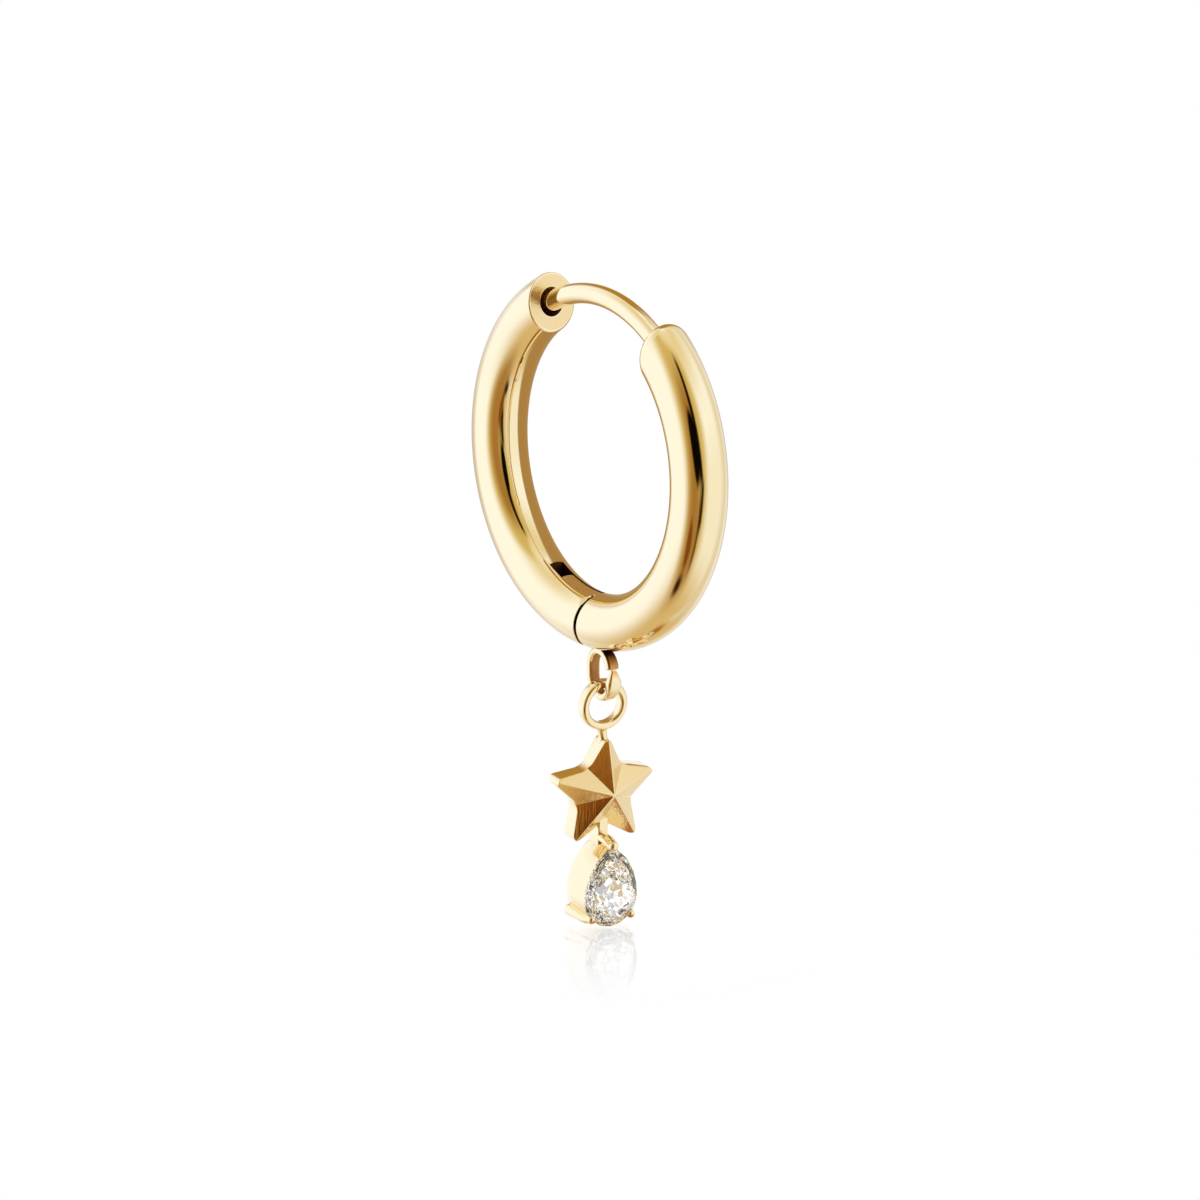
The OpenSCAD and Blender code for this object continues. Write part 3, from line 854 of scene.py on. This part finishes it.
# Distance from the stone's middle to its outline: round below, two arcs that meet in a tip above
def pearR(angle, grow):
    a = stone["width"] / 2
    if math.sin(angle) <= 0:
        return a + grow
    big = (a * a + stoneTip * stoneTip) / (2 * a)
    off = big - a
    c = off * abs(math.cos(angle))
    return math.sqrt(c * c + (big + grow) ** 2 - off * off) - c


def pearRow(grow, z):
    row = []
    for turn in turns(stone["sides"]):
        angle = math.pi / 2 + turn
        r = pearR(angle, grow)
        row.append(Vector((r * math.cos(angle), r * math.sin(angle) + stoneAt, z)) * mm)
    return row


cup = {"inset": 0.05, "wall": 0.28, "bevel": 0.05, "cut": 0.015, "lip": 0.07, "seat": 0.22, "band": 0.5}


# Wall of the cup: outside, top edge, bevelled seat, inside and back edge
def buildCup():
    front = girdleZ - cup["lip"]
    outer = -cup["inset"]
    inner = outer - cup["wall"]
    b = cup["bevel"]
    cut = cup["cut"]
    profile = [(outer - b, backZ), (outer - cut, backZ + cut), (outer, backZ + b),
               (outer, backZ + cup["band"]), (outer, front - b), (outer - cut, front - cut),
               (outer - b, front), (inner, front - cup["seat"]), (inner, front - cup["band"]),
               (inner, backZ + b), (inner + b, backZ)]
    rows = [pearRow(grow, z) for grow, z in profile]
    return placed(skin("stoneCup", rows, [gold], None, 32.0, True), dropPlane)


# Pear-shaped brilliant. Its lower side has many small facets, so it breaks the light up. Each ring of
# corners has its share of the outline, its height, its count and its turn in parts of a step.
def buildStone():
    crown, girdle, pavilion = stone["crown"], stone["girdle"], stone["pavilion"]
    rings = [(stone["table"], crown, 8, 0.0), (0.8, crown * 0.5, 8, 0.5), (1.0, girdle / 2, 16, 0.0),
             (1.0, -girdle / 2, 16, 0.0), (0.79, -0.3 * pavilion, 16, 0.5),
             (0.53, -0.6 * pavilion, 16, 0.0), (0.27, -0.84 * pavilion, 8, 0.5),
             (0.02, -pavilion, 4, 0.0)]
    work = bmesh.new()
    for share, z, count, phase in rings:
        for i in range(count):
            angle = math.pi / 2 + 2 * math.pi * (i + phase) / count
            r = share * pearR(angle, 0)
            work.verts.new(Vector((r * math.cos(angle), r * math.sin(angle) + stoneAt, girdleZ + z)) * mm)
    bmesh.ops.convex_hull(work, input=work.verts)
    bmesh.ops.dissolve_limit(work, angle_limit=math.radians(0.5), verts=work.verts, edges=work.edges)
    data = bpy.data.meshes.new("pearStone")
    work.to_mesh(data)
    work.free()
    for m in stoneMaterials:
        data.materials.append(m)
    for face in data.polygons:
        face.material_index = 1 if face.center.z < (girdleZ - girdle * 0.6) * mm else 0
    return placed(linked("pearStone", data), dropPlane)


# Heights for the taper and lean are measured down from the girdle
claw = {"r": 0.2, "footR": 0.3, "tipR": 0.25, "out": 0.1, "angle": 50.0, "rise": 0.3, "lean": 0.12,
        "leanFrom": 0.3, "thinFrom": 0.2, "bendFrom": 0.12, "footAt": 0.02, "footTop": 0.08,
        "footShare": 0.86}


# One claw: a bar up the cup's side whose ball tip leans in over the stone
def buildClaw(name, angle, reach, r, footR):
    direction = Vector((math.cos(angle), math.sin(angle), 0))
    side = Vector((-direction.y, direction.x, 0))
    foot = Vector((0, stoneAt, 0)) + direction * reach
    low = backZ + claw["footTop"]
    bend = girdleZ - claw["bendFrom"]
    thin = girdleZ - claw["thinFrom"]
    top = girdleZ + claw["rise"] - r
    levels = [(backZ + claw["footAt"], claw["footShare"]), (low, 1.0)]
    levels += [(low + (bend - low) * i / 6, 1.0) for i in range(1, 7)]
    levels += [(bend + (top - bend) * i / 5, 1.0) for i in range(1, 6)]
    ball = [math.pi / 2 * i / 10 for i in range(1, 10)]
    levels += [(top + r * math.sin(a), math.cos(a)) for a in ball]
    rows = []
    for z, share in levels:
        inward = claw["lean"] * eased(z, girdleZ - claw["leanFrom"], top)
        middle = foot - direction * inward + Vector((0, 0, z))
        thick = share * (r + (footR - r) * min(max((thin - z) / (thin - backZ), 0), 1))
        rows.append([(middle + (direction * math.cos(a) + side * math.sin(a)) * thick) * mm
                     for a in turns(32)])
    return placed(skin(name, rows, [gold], None, 50.0), dropPlane)


# Neck between star and ring, wider at both ends
def buildNeck():
    rows = []
    for i in range(13):
        t = i / 12
        y = star["r"] - drop["inStar"] + (drop["neckL"] + drop["inStar"] + drop["inRing"]) * t
        r = drop["neckD"] / 2 * (1 + drop["neckFlare"] * abs(2 * t - 1) ** 3)
        x = star["aside"] * (1 - eased(t, 0, 1))
        rows.append([Vector((x + r * math.cos(a), y, r * math.sin(a))) * mm for a in turns(32)])
    return placed(skin("neck", rows, [gold]), dropPlane)


connector = {"width": 0.5, "sunk": 0.01, "bevel": 0.08}


# Bar between star and cup. Its back is sunk a little, so that it doesn't lie level with the star's.
def buildConnector():
    half = connector["width"] / 2
    top = -star["innerR"] + half
    low = stoneAt + stoneTip - cup["inset"] - cup["wall"]
    verts = [Vector((x, y, z)) * mm for x in (-half, half) for y in (low, top)
             for z in (backZ + connector["sunk"], -backZ)]
    faces = [(0, 1, 3, 2), (4, 6, 7, 5), (0, 4, 5, 1), (2, 3, 7, 6), (0, 2, 6, 4), (1, 5, 7, 3)]
    made = meshObject("connector", verts, faces, [gold])
    return placed(softened(made, connector["bevel"], "ANGLE"), dropPlane)


ring = buildRing()
starBody = buildStar()
stoneCup = buildCup()
clawTurn = math.radians(claw["angle"])
clawAt = stone["width"] / 2 + claw["out"]
clawRight = buildClaw("clawRight", -math.pi / 2 + clawTurn, clawAt, claw["r"], claw["footR"])
clawLeft = buildClaw("clawLeft", -math.pi / 2 - clawTurn, clawAt, claw["r"], claw["footR"])
clawTop = buildClaw("clawTop", math.pi / 2, stoneTip + claw["out"], claw["tipR"], claw["tipR"])
pearStone = buildStone()
neck = buildNeck()
bridge = buildConnector()
print("charm made")

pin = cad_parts["hinge_pin"]
pin.data.materials.clear()
pin.data.materials.append(gold)

# Light that leaves the stone's underside goes on to the tent and not to the cup round it
for piece in (stoneCup, bridge):
    piece.visible_transmission = False

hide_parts("post_half")
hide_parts("ear_wire")
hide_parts("catch_half")
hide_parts("star_drop")
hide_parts("pear_stone")
for piece in (postHalf, tongue, charmLoop, earWire):
    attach(piece, "post_half")
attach(catchHalf, "catch_half")
for piece in (ring, starBody, stoneCup, clawRight, clawLeft, clawTop, neck, bridge):
    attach(piece, "star_drop")
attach(pearStone, "star_drop")
print("pieces placed on their bodies")

# Camera at the photograph's angle, fitted to the hoop's outline
camera = {"azimuth": -36.85, "elevation": 13.75, "distance": 240.0, "right": 0.1325, "up": -6.167,
          "focal": 165.17, "film": 36.0}


def buildCamera():
    az = math.radians(camera["azimuth"])
    el = math.radians(camera["elevation"])
    back = Vector((math.sin(az) * math.cos(el), -math.cos(az) * math.cos(el), math.sin(el)))
    right = Vector((math.cos(az), math.sin(az), 0))
    up = back.cross(right)
    data = bpy.data.cameras.new("camera")
    data.lens = camera["focal"]
    data.sensor_width = camera["film"]
    data.clip_start = 10 * mm
    data.clip_end = 10000 * mm
    made = linked("camera", data)
    centre = Vector((0, 0, -hoop["centreR"]))
    spot = centre + back * camera["distance"] + right * camera["right"] + up * camera["up"]
    made.matrix_world = Matrix.Translation(spot * mm) @ Matrix((right, up, back)).transposed().to_4x4()
    scene.camera = made


floorLook = {"half": 3000.0, "reach": 12.0, "shine": 0.3, "roughness": 0.05, "glow": 0.7, "clear": 0.05}


# White floor. It is polished under the charm and turns dull round it.
def buildFloor():
    made = newMaterial("whiteAcrylicFloor")
    tree = made.node_tree
    place = addNode(tree, "ShaderNodeTexCoord").outputs["Object"]
    far = addNode(tree, "ShaderNodeVectorMath", {0: place}, operation="LENGTH").outputs["Value"]
    shine = addNode(tree, "ShaderNodeMapRange", {"Value": far, "From Max": floorLook["reach"] * mm,
                    "To Min": floorLook["shine"], "To Max": 0.0},
                    interpolation_type="SMOOTHSTEP").outputs["Result"]
    tint = addNode(tree, "ShaderNodeCombineXYZ", {"X": shine, "Y": shine, "Z": shine})
    gloss = addNode(tree, "ShaderNodeBsdfGlossy", {"Color": tint.outputs[0],
                    "Roughness": floorLook["roughness"]})
    rest = addNode(tree, "ShaderNodeMath", {0: floorLook["shine"], 1: shine}, operation="SUBTRACT")
    bright = addNode(tree, "ShaderNodeMath", {0: rest.outputs[0], 1: floorLook["glow"]}, operation="ADD")
    glow = addNode(tree, "ShaderNodeEmission", {"Color": linear("#ffffff"), "Strength": bright.outputs[0]})
    both = addNode(tree, "ShaderNodeAddShader", {0: glow.outputs[0], 1: gloss.outputs[0]})
    finishMaterial(made, both.outputs[0])
    half = floorLook["half"] * mm
    verts = [Vector((x, y, 0)) for x, y in ((-half, -half), (half, -half), (half, half), (-half, half))]
    floor = meshObject("floor", verts, [(0, 1, 2, 3)], [made])
    foot = dropPlane @ Vector((0, (stoneAt - stone["width"] / 2) * mm, girdleZ * mm))
    floor.location = (foot.x, foot.y, cadBox[0][2] - floorLook["clear"] * mm)
    floor.visible_glossy = False
    floor.visible_transmission = False


# White tent with a dark gap beside the camera and warm panels round it. Each row: colour, azimuth
# from, to and softness, lean and bend with height, then elevation from, to and softness.
panels = (
    ("#e8dbad", -109, 175, 28, 0.20, 0.0, 45, 89, 28),
    ("#d8c08a", -197, 173, 8, -0.13, 0.7, -107, -39, 25),
    ("#d6bf77", -1, 86, 15, -0.08, 1.6, -49, 66, 7),
    ("#a77b3b", 34, 71, 14, -0.16, -1.8, -53, 48, 20),
    ("#aa7e41", 29, 73, 28, -0.31, -0.5, -64, -16, 16),
    ("#b28630", -172, -113, 15, 0.01, 0.0, 7, 70, 6),
    ("#fafaf4", -86, 2, 21, -0.27, -0.2, -61, 18, 26),
    ("#e2dbc6", -99, -72, 19, -0.19, -2.8, -85, 86, 10),
    ("#6e4c24", 24, 34, 4, -0.05, 3.4, -54, -12, 9),
    ("#0c0602", 21, 34, 4, 0.08, 0.0, -9, 60, 6),
    ("#150b05", 15, 24, 4, -0.32, 0.0, -32, -6, 5),
)
bendAt = 30  # elevation at which a panel's bend is its own number of degrees
tent = {"colour": (1.05, 1.12, 1.23, 1.0), "stone": (1.29, 1.28, 1.25, 1.0), "stoneShare": 0.95,
        "grey": "#b8bcbf", "warm": "#c9ab74"}


# Share that is full between two angles and fades out past them
def window(tree, angle, low, high, soft):
    up = addNode(tree, "ShaderNodeMapRange", {"Value": angle, "From Min": low - soft,
                 "From Max": low + soft}, interpolation_type="SMOOTHSTEP").outputs["Result"]
    down = addNode(tree, "ShaderNodeMapRange", {"Value": angle, "From Min": high - soft,
                   "From Max": high + soft, "To Min": 1.0, "To Max": 0.0},
                   interpolation_type="SMOOTHSTEP").outputs["Result"]
    return addNode(tree, "ShaderNodeMath", {0: up, 1: down}, operation="MULTIPLY").outputs[0]


def buildSurroundings():
    world = bpy.data.worlds.new("whiteTent")
    world.use_nodes = True
    scene.world = world
    tree = world.node_tree
    tree.nodes.clear()
    way = addNode(tree, "ShaderNodeTexCoord").outputs["Generated"]
    parts = addNode(tree, "ShaderNodeSeparateXYZ", {"Vector": way}).outputs
    left = addNode(tree, "ShaderNodeMath", {0: parts["X"], 1: -1.0}, operation="MULTIPLY").outputs[0]
    front = addNode(tree, "ShaderNodeMath", {0: parts["Y"], 1: -1.0}, operation="MULTIPLY").outputs[0]
    turn = addNode(tree, "ShaderNodeMath", {0: left, 1: front}, operation="ARCTAN2").outputs[0]
    rise = addNode(tree, "ShaderNodeMath", {0: parts["Z"]}, operation="ARCSINE").outputs[0]
    azimuth = addNode(tree, "ShaderNodeMath", {0: turn}, operation="DEGREES").outputs[0]
    elevation = addNode(tree, "ShaderNodeMath", {0: rise}, operation="DEGREES").outputs[0]
    colour = addNode(tree, "ShaderNodeRGB").outputs[0]
    colour.default_value = tent["colour"]
    layers = []
    for code, a0, a1, aSoft, lean, bend, e0, e1, eSoft in panels:
        away = addNode(tree, "ShaderNodeMath", {0: elevation, 1: bend / bendAt ** 2, 2: lean},
                       operation="MULTIPLY_ADD").outputs[0]
        away = addNode(tree, "ShaderNodeMath", {0: away, 1: elevation}, operation="MULTIPLY").outputs[0]
        across = addNode(tree, "ShaderNodeMath", {0: azimuth, 1: away}, operation="SUBTRACT").outputs[0]
        share = addNode(tree, "ShaderNodeMath", {0: window(tree, across, a0, a1, aSoft),
                        1: window(tree, elevation, e0, e1, eSoft)}, operation="MULTIPLY").outputs[0]
        layers.append((share, linear(code)))
    # The stone's facets pick up more of the white tent than the metal does, with soft grey and warm
    # patches in it
    patches = addNode(tree, "ShaderNodeTexNoise", {"Vector": way, "Scale": 3.0, "Detail": 1.0})
    seen = addNode(tree, "ShaderNodeRGB").outputs[0]
    seen.default_value = tent["stone"]
    for code, start, full in ((tent["grey"], 0.5, 0.58), (tent["warm"], 0.46, 0.39)):
        share = addNode(tree, "ShaderNodeMapRange", {"Value": patches.outputs["Fac"], "From Min": start,
                        "From Max": full}, interpolation_type="SMOOTHSTEP").outputs["Result"]
        seen = addNode(tree, "ShaderNodeMix", {"Factor": share, 6: seen, 7: linear(code)},
                       data_type="RGBA").outputs[2]
    light = addNode(tree, "ShaderNodeLightPath").outputs
    share = addNode(tree, "ShaderNodeMath", {0: light["Is Transmission Ray"], 1: tent["stoneShare"]},
                    operation="MULTIPLY").outputs[0]
    layers.append((share, seen))
    # The camera sees plain white past the floor
    layers.append((light["Is Camera Ray"], linear("#ffffff")))
    for share, over in layers:
        colour = addNode(tree, "ShaderNodeMix", {"Factor": share, 6: colour, 7: over},
                         data_type="RGBA").outputs[2]
    shine = addNode(tree, "ShaderNodeBackground", {"Color": colour, "Strength": 1.0})
    addNode(tree, "ShaderNodeOutputWorld", {"Surface": shine.outputs[0]})


# Cards round the earring: name, centre, width and height, colour and width of the faded edge
cards = (
    ("darkLens", (-13.9, -22.1, 5.2), (12.0, 20.0), "#0c0703", 0.16),
    ("brownCard", (4.1, 3.4, -0.7), (30.1, 29.5), "#ad8a53", 0.40),
    ("amberCard", (-18.9, -16.6, -16.0), (9.3, 16.7), "#84491a", 0.27),
    ("umberCard", (-10.2, -9.6, -17.5), (7.6, 7.6), "#3c1708", 0.40),
    ("underCard", (0.6, -1.6, -21.9), (7.2, 7.2), "#b0702a", 0.42),
    ("floorCard", (14.5, 19.5, -14.9), (34.0, 18.0), "#ffffff", 0.1),
)


# A card close to the earring that only shows in its reflections. Its edge fades out.
def buildCard(name, centre, size, code, soft):
    made = newMaterial(name)
    tree = made.node_tree
    spot = addNode(tree, "ShaderNodeTexCoord").outputs["UV"]
    centred = addNode(tree, "ShaderNodeVectorMath", {0: spot, 1: (0.5, 0.5, 0.0)},
                      operation="SUBTRACT").outputs[0]
    far = addNode(tree, "ShaderNodeVectorMath", {0: centred}, operation="LENGTH").outputs["Value"]
    fade = addNode(tree, "ShaderNodeMapRange", {"Value": far, "From Min": 0.5 - soft, "From Max": 0.5},
                   interpolation_type="SMOOTHSTEP").outputs["Result"]
    tint = addNode(tree, "ShaderNodeEmission", {"Color": linear(code), "Strength": 1.0})
    clear = addNode(tree, "ShaderNodeBsdfTransparent")
    both = addNode(tree, "ShaderNodeMixShader", {0: fade, 1: tint.outputs[0], 2: clear.outputs[0]})
    finishMaterial(made, both.outputs[0])
    out = Vector(centre).normalized()
    side = Vector((0, 0, 1)).cross(out).normalized()
    tall = out.cross(side)
    corners = [(-1, -1), (1, -1), (1, 1), (-1, 1)]
    verts = [(Vector(centre) + side * (size[0] / 2 * a) + tall * (size[1] / 2 * b)
              + Vector((0, 0, -hoop["centreR"]))) * mm for a, b in corners]
    card = meshObject(name, verts, [(0, 1, 2, 3)], [made])
    layer = card.data.uv_layers.new(name="card")
    for loopItem in card.data.loops:
        a, b = corners[loopItem.vertex_index]
        layer.data[loopItem.index].uv = ((a + 1) / 2, (b + 1) / 2)
    card.visible_camera = False
    card.visible_transmission = False
    card.visible_diffuse = False
    card.visible_shadow = False


buildCamera()
buildFloor()
buildSurroundings()
for card in cards:
    buildCard(*card)
scene.view_settings.view_transform = "Standard"
print("camera, floor and surroundings made")
